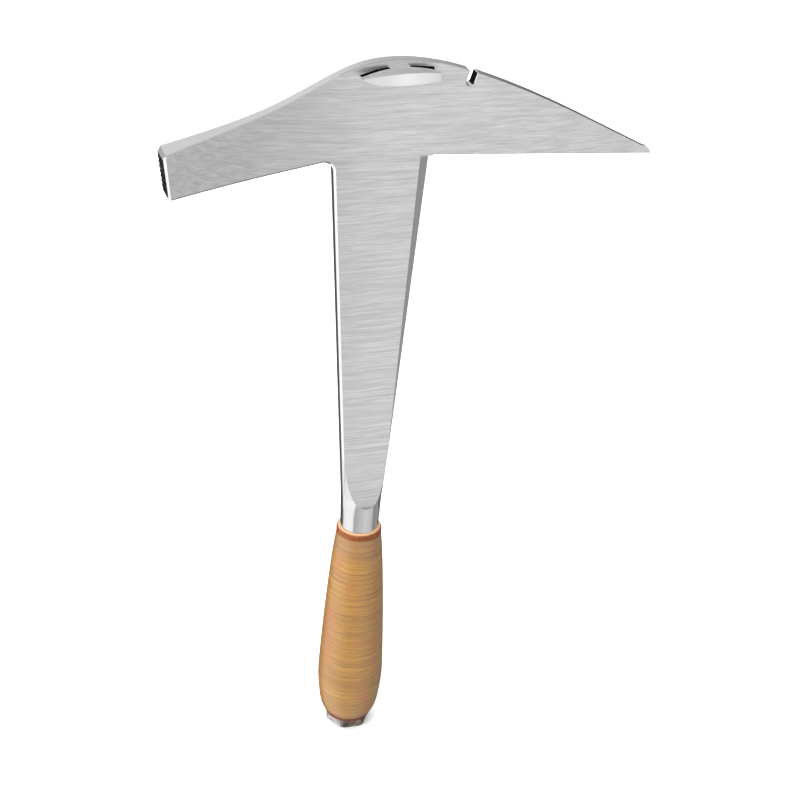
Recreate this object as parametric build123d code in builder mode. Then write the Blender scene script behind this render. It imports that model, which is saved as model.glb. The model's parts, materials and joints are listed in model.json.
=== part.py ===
"""Slater's roofing hammer: a forged steel head, shank and tang in one piece, with a
grip of leather washers clamped on the tang between a fibre ring and a hexagon nut.

Millimetres. The grip's axis is +Z, the flat of the tool lies in the XZ plane, the
pick points to +X, the striking face to -X and the nail claw stands out to -Y.
The origin is the middle of the nut's lower face.
"""
import os
from build123d import *

# ---- head and shank ------------------------------------------------------
plate_half = 2.8            # half the thickness of the flat head and shank
head_top = 350.0            # highest point of the head above the nut's face
shank_left, shank_right = -22.7, 21.9   # x of the shank's sides where it enters the head
shank_top = 307.0           # where the shank runs into the head
shank_foot = 135.5          # the flat shank ends here, inside the neck
shank_foot_half = 9.57      # half the shank's width there
neck_start = 161.0          # where the flat shank starts to thicken into the neck
neck_radius = 9.2
neck_straight = 121.0       # the neck's side is straight below this height
neck_top = 132.9            # the neck is fully round below this height
neck_cheek = 9.0            # half the neck's depth there
neck_waist = (4.37, 146.7)  # half its depth and height midway up to the flat shank
neck_swell = (9.78, 137.0)  # the side's radius and height midway
neck_wide = 10.85           # the side's radius at neck_start
neck_blank = 12.0           # half the depth of the bar that the neck is turned from
neck_blank_top = 127.9
neck_foot = 118.0           # shoulder of the neck, resting on the fibre ring
tang_radius = 6.0
tang_chamfer = 0.7
tip = (126.9, 299.6)        # point of the pick, x and z
tip_half = 0.8              # half the pick's thickness at its point
tip_shoulder = (122.8, 303.6)   # where the top edge turns down to the point
tip_turn = (125.6, 301.9)   # midway round that turn
tip_length = 2.5            # the blunt end, which keeps its sharp rims
pick_root = 21.0            # x where the pick's lower edge ends at the shank
arm_root = -22.0            # x where the poll arm's lower edge ends at the shank
taper_start = 40.0          # where the plate starts to thin towards the pick
flare_start = -46.0         # where it starts to swell towards the poll
poll_top = (-96.6, 315.0)   # upper corner of the striking face
poll_foot = (-93.9, 294.6)  # lower corner of the striking face
poll_half = 6.2             # half the thickness of the poll
head_line = [               # the head's top edge between the poll and the pick
    (-72.9, 322.4), (-48.4, 331.4), (-29.3, 340.8), (-11.0, 348.5), (1.5, head_top),
    (24.0, 347.3), (45.0, 340.6), (82.1, 324.3),
]
flare_middle = (-72.0, 3.7) # x and half the thickness midway along the swelling
poll_reach = -98.0          # x just outside the poll, where the swelling ends
left_fillet = 4.6           # inner corner between arm and shank
right_fillet = 1.0          # inner corner between pick and shank
edge_break = 0.35           # small chamfer along the plate's outline
left_edge_break = 0.9       # wider chamfer down the shank's left side and under the arm
ample = 20.0                # reach of a cutting shape well past the forging's sides
margin = 1.0                # overlap of joined shapes, and of a cut past its end
touching = 0.5              # an edge this close to a place counts as lying on it

# ---- striking face -------------------------------------------------------
poll_chamfer = 1.9
groove_pitch = 2.2
groove_depth = 0.62
groove_rows = 8
groove_columns = 4

# ---- cutting edge of the shank -------------------------------------------
bevel_start = (10.9, 158.0)   # x and z where the bevel dies out
bevel_end = (16.0, 303.0)     # x and z of its inner line at the head
bevel_edge = (21.6, 2.2)      # x and y of the sharp edge at the head
bevel_overrun = 20.0          # the cut runs this far past its foot
bevel_rise = 3.5              # and this far past bevel_end, into the corner under the pick

# ---- nail slot in the head's top edge ------------------------------------
slot_radius = 1.85
slot_foot = (36.2, 338.9)   # centre of the slot's round end
slot_mouth = (38.9, 348.3)  # a point on the slot's middle line above the edge
slot_lip_round = 0.8        # rounding of the slot's left lip

# ---- side claw -----------------------------------------------------------
claw_top = 347.6            # middle of the claw's arched top
claw_middle = 3.5           # x of that highest point
claw_foot = 342.5
claw_bow = 3.6              # x of the bowed front's foremost point
claw_reach = 12.8           # from the mid plane to the claw's bowed front
claw_end_reach = 9.2        # the same at the claw's two ends
claw_gap_narrow = 2.2       # gap to the plate beside the bridge
claw_gap_wide = 3.7         # gap to the plate at the claw's ends
claw_left, claw_right = -13.7, 21.5
claw_tip = 344.3            # height of the claw's left end
claw_tip_thickness = 0.4
claw_thinning = (-4.0, (-9.4, 343.0))   # where the left end starts to thin, and a point midway
claw_shoulder = 345.9       # height of the claw's top at its right end
claw_end_middle = 344.1     # height of the rounded end's outermost point
claw_end_round = 1.3        # depth of the rounding at the claw's right end
bridge_left, bridge_right = -0.6, 8.0
bridge_flare = 0.7          # the bridge widens by this much where it meets the plate
relief_depth = 1.0          # the gap runs this far into the plate's face
relief_foot = 343.2
relief_left = [(-13.4, 344.2), (-6.7, 346.2), (bridge_left, 347.2)]    # its upper edge
relief_left_foot = -12.0
relief_right = [(bridge_right, 347.3), (19.2, 346.5), (19.6, 345.3)]

# ---- grip ----------------------------------------------------------------
nut_height = 4.9
nut_across_flats = 19.0
nut_corner = 10.6           # radius that the nut's corners are turned down to
nut_corner_foot = 10.2      # the same at the outer face
nut_corner_height = 0.5     # height of that last taper
nut_turn = 57.0             # turn of the nut's flats about the grip's axis
red_washer_thickness = 2.1
red_washer_radius = 11.3
red_washer_chamfer = 0.2
ring_thickness = 3.7
ring_radius = 10.85
ring_widest = 1.2           # height of that radius above the ring's foot
ring_foot_radius = 10.75
ring_shoulder = (10.6, 2.7) # radius and height midway round to the top
ring_top_radius = 9.75
leather_count = 36
leather_round = 0.16        # rounding of each leather washer's rim
grip_stations = [           # radius and height of the turned grip, foot to top
    (11.9, 7.0), (13.6, 10.5), (14.9, 17.0), (15.9, 28.0), (15.8, 38.0),
    (14.75, 62.0), (13.0, 90.5), (11.9, 104.0), (10.75, 114.3),
]

groove_side = groove_depth * 2 ** 0.5
rim_side = poll_chamfer * 2 ** 0.5
leather_foot = nut_height + red_washer_thickness
leather_top = neck_foot - ring_thickness
leather_thickness = (leather_top - leather_foot) / leather_count

parts_folder = "parts"
os.makedirs(parts_folder, exist_ok=True)


def save(part, name):
    """Label a finished piece and write it as its own STEP file."""
    part.label = name
    export_step(part, f"{parts_folder}/{name}.step")


def is_rim(edge):
    """True for the sharp outline edges of the blade's front and back."""
    middle = edge.center()
    beside_flare = abs(middle.X - flare_start) < touching
    beside_taper = abs(middle.X - taper_start) < touching
    at_poll = middle.X < poll_foot[0] + touching
    at_foot = middle.Z < shank_foot + margin
    at_tip = middle.X > tip[0] - tip_length
    on_a_face = abs(middle.Y) > touching
    return on_a_face and not (beside_flare or beside_taper or at_poll or at_foot or at_tip)


def is_left_rim(edge):
    """True for the rims down the shank's left side and under the poll's arm."""
    middle = edge.center()
    return is_rim(edge) and middle.X < 0 and middle.Z < shank_top + margin


def is_other_rim(edge):
    """True for the rims of the head's top, the slot, the pick and the shank's right side."""
    return is_rim(edge) and not is_left_rim(edge)


# ---- blade: head and shank as one flat forging ----------------------------
with BuildPart() as blade:
    with BuildSketch(Plane.XZ) as outline:
        # head: poll, hump and pick
        with BuildLine():
            Spline(poll_top, *head_line, tip_shoulder)
            ThreePointArc(tip_shoulder, tip_turn, tip)
            Polyline(tip, (pick_root, shank_top), (arm_root, shank_top), poll_foot, poll_top)
        make_face()
        # shank, tapering towards the neck
        with BuildLine():
            Polyline(
                (shank_left, shank_top + margin), (-shank_foot_half, shank_foot),
                (shank_foot_half, shank_foot), (shank_right, shank_top + margin),
                (shank_left, shank_top + margin),
            )
        make_face()
        left_corner = outline.vertices().sort_by_distance((shank_left, shank_top))[0]
        fillet(left_corner, left_fillet)
        right_corner = outline.vertices().sort_by_distance((shank_right, shank_top))[0]
        fillet(right_corner, right_fillet)
        # nail slot in the top edge, with its left lip rounded over
        SlotCenterPoint(center=slot_mouth, point=slot_foot, height=2 * slot_radius, mode=Mode.SUBTRACT)
        slot_lip = outline.vertices().sort_by_distance((slot_foot[0] - slot_radius, slot_mouth[1]))[0]
        fillet(slot_lip, slot_lip_round)
    extrude(amount=ample, both=True)
    # seen from above: flat middle, swelling to the poll, thinning to the pick
    with BuildSketch(Plane.XY.offset(shank_foot - margin)):
        for side in (1, -1):
            with BuildLine():
                ThreePointArc(
                    (flare_start, side * plate_half), (flare_middle[0], side * flare_middle[1]),
                    (poll_reach, side * poll_half),
                )
                Polyline(
                    (poll_reach, side * poll_half), (poll_reach, 0),
                    (tip[0] + margin, 0), (tip[0] + margin, side * tip_half),
                    (taper_start, side * plate_half), (flare_start, side * plate_half),
                )
            make_face()
    extrude(amount=head_top - shank_foot + 2 * margin, mode=Mode.INTERSECT)
    chamfer(blade.edges().filter_by(is_other_rim), edge_break)
    chamfer(blade.edges().filter_by(is_left_rim), left_edge_break)

# ---- neck: the flat shank thickens into a round bar ------------------------
with BuildPart() as neck:
    with BuildSketch(Plane.YZ):
        for side in (1, -1):
            with BuildLine():
                Polyline(
                    (side * plate_half, neck_start), (0, neck_start), (0, neck_foot),
                    (side * neck_blank, neck_foot), (side * neck_blank, neck_blank_top),
                    (side * neck_cheek, neck_top),
                )
                ThreePointArc(
                    (side * neck_cheek, neck_top), (side * neck_waist[0], neck_waist[1]),
                    (side * plate_half, neck_start),
                )
            make_face()
    extrude(amount=ample, both=True)
    with BuildSketch(Plane.XZ):
        with BuildLine():
            Polyline(
                (neck_radius, neck_straight), (neck_radius, neck_foot), (0, neck_foot),
                (0, neck_start), (neck_wide, neck_start),
            )
            ThreePointArc((neck_wide, neck_start), neck_swell, (neck_radius, neck_straight))
        make_face()
    revolve(axis=Axis.Z, mode=Mode.INTERSECT)

# ---- side claw: a bowed bar on a short bridge, with a tapering gap each side
with BuildPart() as side_claw:
    # front view: an arched top, a rounded right end, and a left end that thins to a tip
    with BuildSketch(Plane.XZ):
        with BuildLine():
            left_end = Line((claw_left, claw_tip), (claw_left, claw_tip + claw_tip_thickness))
            top = ThreePointArc(
                left_end @ 1, (claw_middle, claw_top), (claw_right - claw_end_round, claw_shoulder)
            )
            right_end = ThreePointArc(
                top @ 1, (claw_right, claw_end_middle), (claw_right - claw_end_round, claw_foot)
            )
            Line(right_end @ 1, (claw_thinning[0], claw_foot))
            ThreePointArc((claw_thinning[0], claw_foot), claw_thinning[1], left_end @ 0)
        make_face()
    extrude(amount=claw_reach + margin)
    # plan view
    with BuildSketch(Plane.XY.offset(claw_foot - margin)):
        with BuildLine():
            ThreePointArc(
                (claw_left, -claw_end_reach), (claw_bow, -claw_reach), (claw_right, -claw_end_reach)
            )
            Polyline(
                (claw_right, -claw_end_reach), (claw_right, -plate_half - claw_gap_wide),
                (bridge_right, -plate_half - claw_gap_narrow),
                (bridge_right + bridge_flare, -plate_half + margin),
                (bridge_left - bridge_flare, -plate_half + margin),
                (bridge_left, -plate_half - claw_gap_narrow),
                (claw_left, -plate_half - claw_gap_wide), (claw_left, -claw_end_reach),
            )
        make_face()
    extrude(amount=ample, mode=Mode.INTERSECT)

# ---- the forging: blade, neck, claw and tang in one ------------------------
with BuildPart() as forging:
    add(blade.part)
    # striking face: a chamfered rim and crossed grooves, each cut by a square bar on edge
    poll_face = forging.faces().sort_by(Axis.X)[0]
    poll_plane = Plane(origin=poll_face.center(), x_dir=(0, 1, 0), z_dir=poll_face.normal_at())
    poll_width = poll_face.bounding_box().size.Y
    poll_height = (Vector(*poll_top) - Vector(*poll_foot)).length
    with Locations(poll_plane):
        with GridLocations(0, poll_height, 1, 2):
            Box(ample, rim_side, rim_side, rotation=(45, 0, 0), mode=Mode.SUBTRACT)
        with GridLocations(poll_width, 0, 2, 1):
            Box(rim_side, 2 * ample, rim_side, rotation=(0, 45, 0), mode=Mode.SUBTRACT)
        with GridLocations(0, groove_pitch, 1, groove_rows):
            Box(ample, groove_side, groove_side, rotation=(45, 0, 0), mode=Mode.SUBTRACT)
        with GridLocations(groove_pitch, 0, groove_columns, 1):
            Box(groove_side, 2 * ample, groove_side, rotation=(0, 45, 0), mode=Mode.SUBTRACT)
    # cutting edge: one flat bevel ground along the shank's right side
    bevel_foot = Vector(bevel_start[0], -plate_half, bevel_start[1])
    bevel_head = Vector(bevel_end[0], -plate_half, bevel_end[1])
    bevel_rim = Vector(bevel_edge[0], bevel_edge[1], bevel_end[1])
    along = bevel_head - bevel_foot
    outward = (bevel_rim - bevel_head).cross(along)
    with BuildSketch(Plane(origin=bevel_foot, x_dir=along, z_dir=outward)):
        with Locations(((along.length + bevel_rise - bevel_overrun) / 2, 0)):
            Rectangle(along.length + bevel_rise + bevel_overrun, 2 * ample)
    extrude(amount=ample, mode=Mode.SUBTRACT)
    # shallow run-out of the claw's gap in the plate's face
    with BuildSketch(Plane.XZ.offset(plate_half - relief_depth)):
        with BuildLine():
            Polyline(
                *relief_left, (bridge_left, relief_foot), (relief_left_foot, relief_foot), relief_left[0]
            )
        make_face()
        with BuildLine():
            Polyline(
                *relief_right, (relief_right[-1][0], relief_foot), (bridge_right, relief_foot),
                relief_right[0],
            )
        make_face()
    extrude(amount=relief_depth + margin, mode=Mode.SUBTRACT)
    add(side_claw.part)
    add(neck.part)
    # tang, down through the grip and the nut
    with BuildSketch(Plane.XY):
        Circle(tang_radius)
    extrude(amount=neck_foot + margin)
    chamfer(forging.edges().group_by(Axis.Z)[0], tang_chamfer)
save(forging.part, "forged_head_and_shank")

# ---- fibre ring under the neck's shoulder -----------------------------------
with BuildPart() as ring:
    with BuildSketch(Plane.XZ):
        with BuildLine():
            side = Polyline(
                (tang_radius, leather_top), (ring_foot_radius, leather_top),
                (ring_radius, leather_top + ring_widest),
            )
            ThreePointArc(
                side @ 1, (ring_shoulder[0], leather_top + ring_shoulder[1]), (ring_top_radius, neck_foot)
            )
            Polyline((ring_top_radius, neck_foot), (tang_radius, neck_foot), (tang_radius, leather_top))
        make_face()
    revolve(axis=Axis.Z)
save(ring.part, "orange_fibre_ring")

# ---- leather washers, pressed together and turned to one smooth grip ---------
for number in range(leather_count):
    foot = leather_foot + number * leather_thickness
    with BuildPart() as washer:
        with BuildSketch(Plane.XZ) as section:
            with BuildLine():
                Spline(*grip_stations)
                Polyline(
                    grip_stations[-1], (tang_radius, leather_top),
                    (tang_radius, leather_foot), grip_stations[0],
                )
            make_face()
            with Locations((0, foot + leather_thickness / 2)):
                Rectangle(2 * ample, leather_thickness, mode=Mode.INTERSECT)
            fillet(section.vertices().group_by(Axis.X)[1:], leather_round)
        revolve(axis=Axis.Z)
    save(washer.part, f"leather_washer_{number + 1:02d}")

# ---- red fibre washer under the leather ---------------------------------------
with BuildPart() as red_washer:
    with BuildSketch(Plane.XY.offset(nut_height)):
        Circle(red_washer_radius)
        Circle(tang_radius, mode=Mode.SUBTRACT)
    extrude(amount=red_washer_thickness)
    chamfer(red_washer.edges().filter_by(GeomType.CIRCLE).sort_by(SortBy.RADIUS)[-2:], red_washer_chamfer)
save(red_washer.part, "red_fibre_washer")

# ---- thin hexagon nut on the tang's end -----------------------------------------
with BuildPart() as nut:
    with BuildSketch(Plane.XY):
        RegularPolygon(nut_across_flats / 2, 6, major_radius=False, rotation=nut_turn)
    extrude(amount=nut_height)
    # the corners are rounded off by a cone on the outer face
    with BuildSketch(Plane.XZ):
        with BuildLine():
            Polyline(
                (0, 0), (nut_corner_foot, 0), (nut_corner, nut_corner_height),
                (nut_corner, nut_height), (0, nut_height), (0, 0),
            )
        make_face()
    revolve(axis=Axis.Z, mode=Mode.INTERSECT)
    with BuildSketch(Plane.XY):
        Circle(tang_radius)
    extrude(amount=nut_height, mode=Mode.SUBTRACT)
save(nut.part, "end_nut")
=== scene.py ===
"""Looks of the slater's roofing hammer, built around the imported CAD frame.

Metres, the CAD's own frame: the grip's axis is +Z, the flat of the tool lies in the XZ
plane, the pick points to +X and the nail claw stands out to -Y. Lengths inside the
materials are millimetres.
"""
import json
import math

import bpy
from mathutils import Matrix, Vector


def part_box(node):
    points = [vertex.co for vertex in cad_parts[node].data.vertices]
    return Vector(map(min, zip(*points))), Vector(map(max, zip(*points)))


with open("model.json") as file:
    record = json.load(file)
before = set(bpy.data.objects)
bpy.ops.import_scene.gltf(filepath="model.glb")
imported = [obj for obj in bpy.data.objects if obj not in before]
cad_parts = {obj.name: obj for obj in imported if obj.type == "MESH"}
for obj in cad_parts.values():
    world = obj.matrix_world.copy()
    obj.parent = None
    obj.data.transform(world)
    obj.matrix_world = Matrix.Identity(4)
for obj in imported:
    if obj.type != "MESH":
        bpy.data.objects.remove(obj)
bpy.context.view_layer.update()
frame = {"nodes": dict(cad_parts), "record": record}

MM = 0.001


def mount(name):
    """Place in millimetres of one of the record's mounts, and the way it faces."""
    found = next(m for m in frame["record"]["mounts"] if m["name"] == name)
    return Vector(found["pos_m"]) / MM, Vector(found["axis"])


# ---- places from the frame --------------------------------------------------
ring_low, ring_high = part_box("orange_fibre_ring")
nut_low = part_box("end_nut")[0]
leather_low, leather_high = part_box("leather_washer_01")
layer = leather_high.z - leather_low.z      # thickness of one leather washer
grip_top = ring_low.z / MM
face_place, face_axis = mount("striking_face")

# ---- places on the forging that have no node or mount, in millimetres -------
# Each pair is where a change of finish or of painted shade starts and where it is complete.
ARM_ROOT = -20.0                # x where the poll's arm leaves the shank
ARM_TILT = 0.10                 # slope of the grinding lines on the arm
ARM_SHADE = (12.0, -70.0)        # x, painted shade: the arm gets darker towards the poll
NECK_BELOW = (160.0, 152.0)     # z, the flat shank turns into the round neck
TONGUE_ABOVE = (131.6, 133.0)   # z, the flat's tongue comes this far down the neck
NECK_REACH = (5.0, 7.0)         # distance from the grip's axis of the neck's polish
RIMS_ABOVE = (155.0, 158.0)     # z
CLAW_ABOVE = (338.0, 340.0)     # z
CLAW_CLEAR = (-5.4, -6.2)       # y, the claw stands clear of the plate
BEVEL_ABOVE = (150.0, 175.0)    # z, the bevel grows out of the shank
BEVEL_BELOW = (306.0, 304.0)    # z, and ends under the head
MILLED_DEEP = (0.95, 0.75)      # depth behind the striking face that its grooves reach
MILLED_WIDE = (4.9, 4.6)        # half the milled face's width
MILLED_HIGH = (8.9, 8.6)        # half its height
SLOT_LEFT, SLOT_RIGHT = (34.5, 35.0), (40.6, 40.2)      # x of the nail slot's walls
SLOT_ABOVE = (336.8, 337.0)     # z
GAP_ABOVE = (343.1, 343.3)      # z of the run-out behind the claw's gap
GAP_FRONT, GAP_BACK = (-2.6, -2.45), (-1.0, -1.5)       # y, sunk below the plate's face
GAP_WIDE = (22.0, 21.0)         # x either way from the middle


class Nodes:
    """A node tree under construction."""

    def __init__(self, tree):
        self.tree = tree

    def add(self, kind, inputs=None, **settings):
        """A new node; inputs gives a value or a socket for each input's key."""
        made = self.tree.nodes.new(kind)
        for key, value in settings.items():
            setattr(made, key, value)
        for key, value in (inputs or {}).items():
            self.feed(made.inputs[key], value)
        return made

    def feed(self, socket, value):
        if isinstance(value, bpy.types.NodeSocket):
            self.tree.links.new(value, socket)
        else:
            socket.default_value = value

    def math(self, operation, a, b=0.0):
        return self.add("ShaderNodeMath", {0: a, 1: b}, operation=operation).outputs[0]

    def product(self, first, *others):
        for other in others:
            first = self.math("MULTIPLY", first, other)
        return first

    def step(self, value, low, high):
        """0 below low, 1 above high, smooth between; low may be the larger one."""
        return self.add(
            "ShaderNodeMapRange", {0: value, 1: low, 2: high, 3: 0.0, 4: 1.0},
            interpolation_type="SMOOTHSTEP",
        ).outputs[0]

    def scale(self, value, low, high):
        """A value between 0 and 1 stretched to low..high."""
        return self.add("ShaderNodeMapRange", {0: value, 1: 0.0, 2: 1.0, 3: low, 4: high}).outputs[0]

    def blend(self, amount, a, b):
        """A plain number between a and b."""
        return self.add("ShaderNodeMix", {0: amount, 2: a, 3: b}, data_type="FLOAT").outputs[0]

    def mix(self, amount, a, b, blend="MIX"):
        """A colour between a and b."""
        return self.add(
            "ShaderNodeMix", {0: amount, 6: a, 7: b}, data_type="RGBA", blend_type=blend,
        ).outputs[2]

    def ramp(self, value, *stops, interpolation="LINEAR"):
        """A colour ramp; each stop is (position, colour)."""
        made = self.add("ShaderNodeValToRGB", {0: value})
        made.color_ramp.interpolation = interpolation
        points = made.color_ramp.elements
        while len(points) < len(stops):
            points.new(0.5)
        for point, (position, colour) in zip(points, stops):
            point.position = position
            point.color = colour
        return made.outputs[0]


class Shader(Nodes):
    """A material under construction. Lengths inside it are millimetres."""

    def __init__(self, name):
        self.material = bpy.data.materials.new(name)
        self.material.use_nodes = True
        super().__init__(self.material.node_tree)
        self.surface = self.tree.nodes["Principled BSDF"]
        place = self.add("ShaderNodeTexCoord").outputs["Object"]
        self.place = self.add(
            "ShaderNodeVectorMath", {0: place, 3: 1 / MM}, operation="SCALE",
        ).outputs[0]
        self.x, self.y, self.z = self.add("ShaderNodeSeparateXYZ", {0: self.place}).outputs
        facing = self.add("ShaderNodeNewGeometry").outputs["Normal"]
        self.nx, self.ny, self.nz = self.add("ShaderNodeSeparateXYZ", {0: facing}).outputs

    def vector(self, x, y, z):
        return self.add("ShaderNodeCombineXYZ", {0: x, 1: y, 2: z}).outputs[0]

    def noise(self, vector, detail=3.0, roughness=0.55):
        """Noise of unit size in the given vector's own units, between 0 and 1."""
        return self.add(
            "ShaderNodeTexNoise",
            {"Vector": vector, "Scale": 1.0, "Detail": detail, "Roughness": roughness},
        ).outputs[0]

    def spread(self, sideways, upwards):
        """The place with X and Y scaled by sideways and Z by upwards."""
        return self.vector(
            self.math("MULTIPLY", self.x, sideways), self.math("MULTIPLY", self.y, sideways),
            self.math("MULTIPLY", self.z, upwards),
        )

    def streaks(self, along, across_at, across, detail):
        """Long noise streaks along X; across_at is the coordinate across them."""
        lengthwise = self.math("MULTIPLY", self.x, along)
        depth = self.math("MULTIPLY", self.y, 3.0)
        sideways = self.math("MULTIPLY", across_at, across)
        return self.noise(self.vector(lengthwise, depth, sideways), detail)

    def bump(self, height, strength, distance):
        return self.add(
            "ShaderNodeBump", {"Height": height, "Strength": strength, "Distance": distance * MM},
        ).outputs[0]

    def finish(self, colour, roughness, normal, **constants):
        """Join up the surface; constants are its other inputs, with _ for a space."""
        self.feed(self.surface.inputs["Base Color"], colour)
        self.feed(self.surface.inputs["Roughness"], roughness)
        self.feed(self.surface.inputs["Normal"], normal)
        for name, value in constants.items():
            self.surface.inputs[name.replace("_", " ")].default_value = value
        return self.material


def srgb(code):
    """A colour from its usual six-digit code, as linear red, green, blue, alpha."""
    parts = [int(code[i:i + 2], 16) / 255 for i in (0, 2, 4)]
    return [p / 12.92 if p <= 0.04045 else ((p + 0.055) / 1.055) ** 2.4 for p in parts] + [1.0]


# ---- materials ---------------------------------------------------------------
def steel():
    """Forged steel: belt-ground flats, polished round neck and rims, blackened milled face."""
    s = Shader("forged_steel_ground")
    flatness = s.math("ABSOLUTE", s.ny)     # 1 on the front and back, 0 on the edges

    # grinding lines run along the head, tilted a little on the poll's arm
    past_root = s.math("MINIMUM", s.math("SUBTRACT", s.x, ARM_ROOT), 0.0)
    tilted = s.math("ADD", s.z, s.math("MULTIPLY", past_root, ARM_TILT))
    slow = s.vector(s.math("MULTIPLY", s.x, 0.03), 0.0, s.math("MULTIPLY", s.z, 0.02))
    across = s.math("ADD", tilted, s.scale(s.noise(slow), -0.8, 0.8))
    fine = s.streaks(along=0.12, across_at=across, across=2.4, detail=3.0)
    broad = s.streaks(along=0.035, across_at=across, across=0.85, detail=4.0)
    streak = s.math("ADD", s.math("MULTIPLY", fine, 0.45), s.math("MULTIPLY", broad, 0.55))
    ground = s.ramp(streak, (0.36, srgb("cccccc")), (0.5, srgb("dcdcdc")), (0.64, srgb("ececec")))
    # painted shade: the poll's arm grows darker towards the poll
    arm_shaded = s.mix(1.0, ground, srgb("e1e1e1"), "MULTIPLY")
    ground = s.mix(s.step(s.x, *ARM_SHADE), ground, arm_shaded)

    # round neck, claw and rims are polished
    reach = s.math("SQRT", s.math("ADD", s.product(s.x, s.x), s.product(s.y, s.y)))
    tongue = s.product(s.step(s.z, *TONGUE_ABOVE), s.step(s.math("ABSOLUTE", s.nz), 0.02, 0.12))
    neck = s.product(
        s.step(s.z, *NECK_BELOW), s.math("SUBTRACT", 1.0, tongue), s.step(reach, *NECK_REACH),
    )
    rim = s.product(s.step(flatness, 0.85, 0.78), s.step(s.z, *RIMS_ABOVE))
    claw = s.product(s.step(s.y, *CLAW_CLEAR), s.step(s.z, *CLAW_ABOVE))
    polished = s.math("MAXIMUM", s.math("MAXIMUM", neck, rim), claw)
    tone = s.mix(polished, ground, srgb("e6e6e6"))
    tone = s.mix(neck, tone, srgb("d4d4d4"))

    # painted shade: the narrow break along the head's top edge is darkened to damp its bright
    # reflection
    top_break_shade = s.product(
        s.step(flatness, 0.3, 0.45), s.step(flatness, 0.93, 0.88), s.step(s.nz, 0.15, 0.3),
    )
    tone = s.mix(top_break_shade, tone, srgb("acacac"))
    # painted highlight: the claw's front face is painted near white
    tone = s.mix(s.product(claw, s.step(flatness, 0.5, 0.8)), tone, srgb("fbfbfb"))

    # the bevel is ground across; its darker tone is painted shade for the way it faces
    bevel_shade = s.product(
        s.step(s.nx, 0.45, 0.6), s.step(s.ny, -0.5, -0.62),
        s.step(s.z, *BEVEL_ABOVE), s.step(s.z, *BEVEL_BELOW),
    )
    tone = s.mix(bevel_shade, tone, srgb("d2d2d2"))

    # the milled striking face is left black from hardening, worn grey on its points
    above_middle = s.math("SUBTRACT", s.z, face_place.z)
    lean = s.math("MULTIPLY", above_middle, face_axis.z / face_axis.x)
    depth = s.math("ADD", s.math("SUBTRACT", s.x, face_place.x), lean)
    milled = s.product(
        s.step(depth, *MILLED_DEEP), s.step(s.math("ABSOLUTE", s.y), *MILLED_WIDE),
        s.step(s.math("ABSOLUTE", above_middle), *MILLED_HIGH),
    )
    grime = s.noise(s.place, detail=4.0, roughness=0.7)
    black = s.ramp(grime, (0.38, srgb("080808")), (0.52, srgb("242424")), (0.68, srgb("707070")))
    tone = s.mix(milled, tone, black)

    # painted shade: the nail slot's wall and the claw's gap are painted near black
    slot_wall = s.product(
        s.step(s.x, *SLOT_LEFT), s.step(s.x, *SLOT_RIGHT), s.step(s.z, *SLOT_ABOVE),
        s.step(flatness, 0.6, 0.3), s.step(s.nz, 0.9, 0.8),
    )
    gap = s.product(
        s.step(s.z, *GAP_ABOVE), s.step(s.y, *GAP_FRONT), s.step(s.y, *GAP_BACK),
        s.step(s.math("ABSOLUTE", s.x), *GAP_WIDE), s.step(s.ny, -0.2, -0.5),
    )
    recess_shade = s.math("MAXIMUM", slot_wall, gap)
    tone = s.mix(recess_shade, tone, srgb("101010"))

    roughness = s.blend(polished, s.scale(streak, 0.30, 0.42), 0.14)
    roughness = s.blend(s.math("MAXIMUM", milled, recess_shade), roughness, 0.6)
    relief = s.product(streak, s.math("SUBTRACT", 1.0, polished))
    return s.finish(tone, roughness, s.bump(relief, 0.15, 0.03), Metallic=1.0)


def leather():
    """Edges of pressed leather discs, turned, stained tan and lacquered."""
    s = Shader("stacked_leather_lacquered")
    height = s.math("DIVIDE", s.math("SUBTRACT", s.z, leather_low.z / MM), layer / MM)
    # a stride longer than the noise's grain gives each washer a tone of its own
    stride = s.math("MULTIPLY", s.math("FLOOR", height), 7.31)
    sheet = s.noise(s.vector(0.0, 0.0, stride), detail=0.0)
    swirl = s.scale(s.noise(s.spread(sideways=0.12, upwards=0.05), detail=2.0), -0.6, 0.6)
    along_x, along_y = s.math("MULTIPLY", s.x, 0.05), s.math("MULTIPLY", s.y, 0.05)
    swirled = s.math("MULTIPLY", s.math("ADD", s.z, swirl), 1.5)
    lines = s.noise(s.vector(along_x, along_y, swirled), detail=3.0, roughness=0.7)
    fibre = s.noise(s.spread(sideways=1.1, upwards=3.2), detail=3.0)
    patch = s.noise(s.spread(sideways=0.10, upwards=0.06), detail=2.0)
    shade = s.math("ADD", s.math("MULTIPLY", sheet, 0.18), s.math("MULTIPLY", lines, 0.52))
    shade = s.math("ADD", shade, s.math("MULTIPLY", fibre, 0.30))
    tone = s.ramp(
        shade,
        (0.36, srgb("7c5310")), (0.46, srgb("986919")), (0.54, srgb("aa781f")), (0.66, srgb("bf8c2d")),
    )
    tone = s.mix(s.step(patch, 0.48, 0.70), tone, srgb("a86827"))
    # handled less and greyer towards the ring
    greyer = s.scale(s.step(s.z, grip_top - 14.3, grip_top - 2.3), 0.0, 0.55)
    tone = s.mix(greyer, tone, srgb("916a43"))
    nearest_joint = s.math("SUBTRACT", s.math("FRACT", s.math("ADD", height, 0.5)), 0.5)
    at_joint = s.step(s.math("ABSOLUTE", nearest_joint), 0.10, 0.02)
    tone = s.mix(s.product(at_joint, s.scale(lines, -0.35, 0.42)), tone, srgb("4a2f10"))
    relief = s.math("ADD", s.math("MULTIPLY", fibre, 0.5), lines)
    return s.finish(
        tone, s.scale(fibre, 0.42, 0.56), s.bump(relief, 0.2, 0.08),
        Coat_Weight=1.0, Coat_Roughness=0.34, Specular_IOR_Level=0.9,
    )


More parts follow.
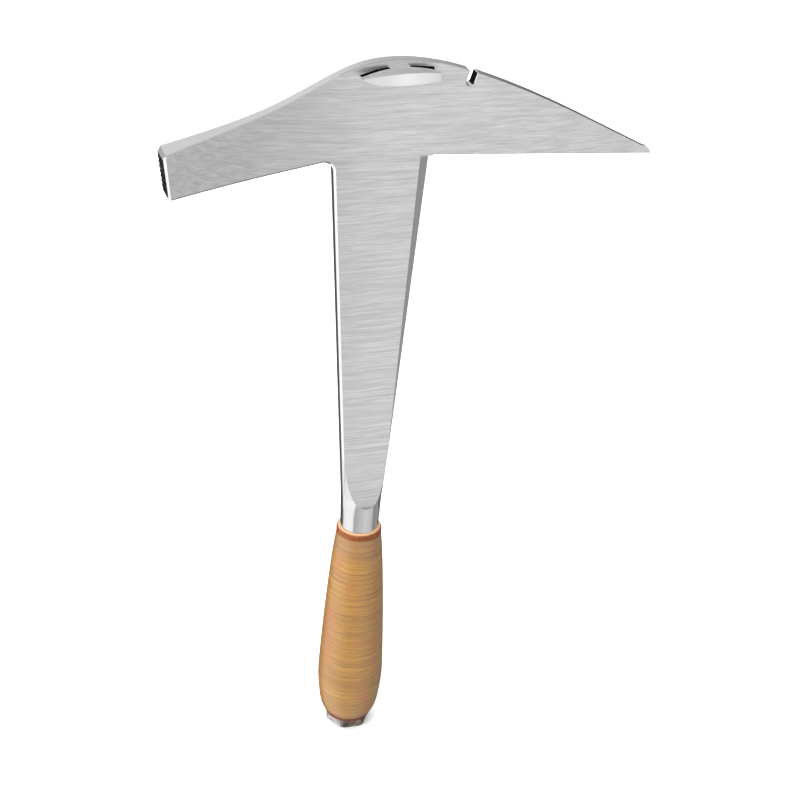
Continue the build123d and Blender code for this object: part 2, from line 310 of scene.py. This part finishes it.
def fibre_board(name, dark, middle, light, top_colour=None):
    """Vulcanised fibre, dyed and pressed; a fourth colour, when given, lightens a ring's upper edge.
    """
    s = Shader(name)
    speck = s.noise(s.spread(sideways=1.6, upwards=4.0), detail=3.0)
    cloud = s.noise(s.spread(sideways=0.35, upwards=0.5), detail=2.0)
    shade = s.math("ADD", s.math("MULTIPLY", speck, 0.55), s.math("MULTIPLY", cloud, 0.45))
    tone = s.ramp(shade, (0.34, dark), (0.5, middle), (0.66, light))
    if top_colour:
        # the ring's upper edge is coloured lighter
        edge = ring_high.z / MM
        tone = s.mix(s.step(s.z, edge - 0.85, edge - 0.05), tone, top_colour)
        at_foot = s.step(s.z, grip_top + 0.7, grip_top + 0.3)
        tone = s.mix(s.scale(at_foot, 0.0, 0.5), tone, light)
    return s.finish(
        tone, s.scale(speck, 0.38, 0.52), s.bump(speck, 0.2, 0.06), Specular_IOR_Level=0.5,
    )


def nut_steel():
    """Plain machined steel with light stains; the flats not facing -X carry painted shade."""
    s = Shader("end_nut_steel")
    turning = s.noise(s.spread(sideways=0.3, upwards=4.0), detail=2.0)
    stain = s.noise(s.spread(sideways=0.22, upwards=0.3), detail=3.0)
    tone = s.ramp(turning, (0.3, srgb("bab2b0")), (0.7, srgb("d4ccca")))
    tone = s.mix(s.step(stain, 0.48, 0.7), tone, srgb("9c928c"))
    # painted shade: every flat except those facing -X is darkened brown
    facet_shade = s.ramp(stain, (0.4, srgb("594f47")), (0.6, srgb("8d827a")))
    tone = s.mix(s.step(s.nx, -0.7, -0.4), tone, facet_shade)
    return s.finish(tone, s.scale(turning, 0.28, 0.4), s.bump(turning, 0.3, 0.05), Metallic=1.0)


def paper_white():
    """Matt white of the floor, with the faintest unevenness."""
    s = Shader("studio_white")
    slow = s.vector(s.math("MULTIPLY", s.x, 0.01), s.math("MULTIPLY", s.y, 0.01), 0.0)
    cloud = s.noise(slow, detail=1.0)
    tone = s.ramp(cloud, (0.3, srgb("fcfcfc")), (0.7, srgb("fefefe")))
    return s.finish(tone, 0.9, s.bump(cloud, 0.02, 0.1), Specular_IOR_Level=0.1)


# ---- CAD nodes get their materials ---------------------------------------------
def dress(node, material):
    """Put a material into every slot of a CAD node."""
    shown = frame["nodes"][node]
    if not shown.material_slots:
        shown.data.materials.append(material)
    for place in shown.material_slots:
        place.material = material


leather_material = leather()
for name in frame["nodes"]:
    if name.startswith("leather_washer"):
        dress(name, leather_material)
dress("forged_head_and_shank", steel())
dress("orange_fibre_ring", fibre_board(
    "orange_fibre", srgb("632c08"), srgb("844313"), srgb("a0642c"), top_colour=srgb("d2a882"),
))
dress("red_fibre_washer", fibre_board("red_fibre", srgb("552417"), srgb("6c3522"), srgb("84482e")))
dress("end_nut", nut_steel())


# ---- stage ------------------------------------------------------------------------
def make_floor(half, height):
    """A square white floor, left out of the tool's reflections and bounced light."""
    mesh = bpy.data.meshes.new("studio_floor")
    corners = [(-half, -half), (half, -half), (half, half), (-half, half)]
    mesh.from_pydata([(x, y, height) for x, y in corners], [], [(0, 1, 2, 3)])
    floor = bpy.data.objects.new("studio_floor", mesh)
    bpy.context.collection.objects.link(floor)
    mesh.materials.append(paper_white())
    floor.visible_glossy = False
    floor.visible_diffuse = False


make_floor(half=12.0, height=nut_low.z)


def soft_box(name, place, aim, size, power):
    """A rectangular lamp aimed at a point, itself unseen in the steel."""
    light = bpy.data.lights.new(name, "AREA")
    light.shape = "RECTANGLE"
    light.size, light.size_y = size
    light.energy = power
    lamp = bpy.data.objects.new(name, light)
    lamp.location = place
    lamp.rotation_euler = (aim - Vector(place)).to_track_quat("-Z", "Y").to_euler()
    lamp.visible_glossy = False
    bpy.context.collection.objects.link(lamp)


middle = Vector((0.0, 0.0, 0.2))
soft_box("left_softbox", (-1.6, -0.7, 0.9), middle, size=(1.2, 1.4), power=26.0)
soft_box("top_softbox", (0.0, 0.2, 2.4), middle, size=(2.6, 2.6), power=50.0)


def grey(level):
    return (level, level, level, 1.0)


def studio_world(lower, upper, overhead):
    """The studio as the tool sees it: walls that change with direction, white to the camera.

    lower and upper list (degrees round from +X, brightness) for below and above the
    horizon; overhead is the ceiling's brightness.
    """
    world = bpy.data.worlds.new("studio")
    world.use_nodes = True
    world.node_tree.nodes.clear()
    n = Nodes(world.node_tree)
    aim = n.add("ShaderNodeTexCoord").outputs["Generated"]
    x, y, z = n.add("ShaderNodeSeparateXYZ", {0: aim}).outputs
    turned = n.math("ARCTAN2", y, x)
    around = n.add(
        "ShaderNodeMapRange", {0: turned, 1: -math.pi, 2: math.pi, 3: 0.0, 4: 1.0},
    ).outputs[0]

    def wall(stops):
        placed = [((degrees + 180.0) / 360.0, grey(level)) for degrees, level in stops]
        return n.ramp(around, *placed, interpolation="EASE")

    walls = n.mix(n.step(z, -0.10, 0.25), wall(lower), wall(upper))
    lit = n.mix(n.step(z, 0.5, 0.8), walls, grey(overhead))
    seen = n.add("ShaderNodeLightPath").outputs["Is Camera Ray"]
    shown = n.mix(seen, lit, grey(1.0))
    glow = n.add("ShaderNodeBackground", {0: shown, 1: 1.0}).outputs[0]
    n.add("ShaderNodeOutputWorld", {0: glow})
    return world


bpy.context.scene.world = studio_world(
    lower=[
        (-180, 1.35), (-149, 1.3), (-141, 0.60), (-95, 0.78), (-70, 0.90), (-50, 0.82), (-33, 0.74),
        (-16, 0.35), (14, 0.42), (40, 0.16), (105, 0.10), (128, 0.14), (145, 1.2), (180, 1.35),
    ],
    upper=[(-180, 1.1), (-70, 0.75), (-40, 0.45), (0, 0.25), (60, 0.5), (110, 0.85), (180, 1.1)],
    overhead=1.3,
)

# ---- camera: lens, place and turn fitted to the tool's outline in the photo -------------
LENS, SENSOR = 81.0, 36.0                       # millimetres
CAMERA_PLACE = (-0.23647, -0.67559, 0.60062)
TURN, RISE, ROLL = 20.5, 30.0, 4.25             # degrees: left of the front, up, about the view

camera_data = bpy.data.cameras.new("camera")
camera_data.lens = LENS
camera_data.sensor_width = SENSOR
camera_data.clip_end = 100.0
camera = bpy.data.objects.new("camera", camera_data)
turn, rise, roll = math.radians(TURN), math.radians(RISE), math.radians(ROLL)
back = Vector((-math.sin(turn) * math.cos(rise), -math.cos(turn) * math.cos(rise), math.sin(rise)))
level = Vector((math.cos(turn), -math.sin(turn), 0.0))
upright = back.cross(level)
right = level * math.cos(roll) + upright * math.sin(roll)
above = upright * math.cos(roll) - level * math.sin(roll)
facing = Matrix((right, above, back)).transposed()
camera.matrix_world = Matrix.Translation(CAMERA_PLACE) @ facing.to_4x4()
bpy.context.collection.objects.link(camera)
bpy.context.scene.camera = camera
bpy.context.scene.view_settings.view_transform = "Standard"
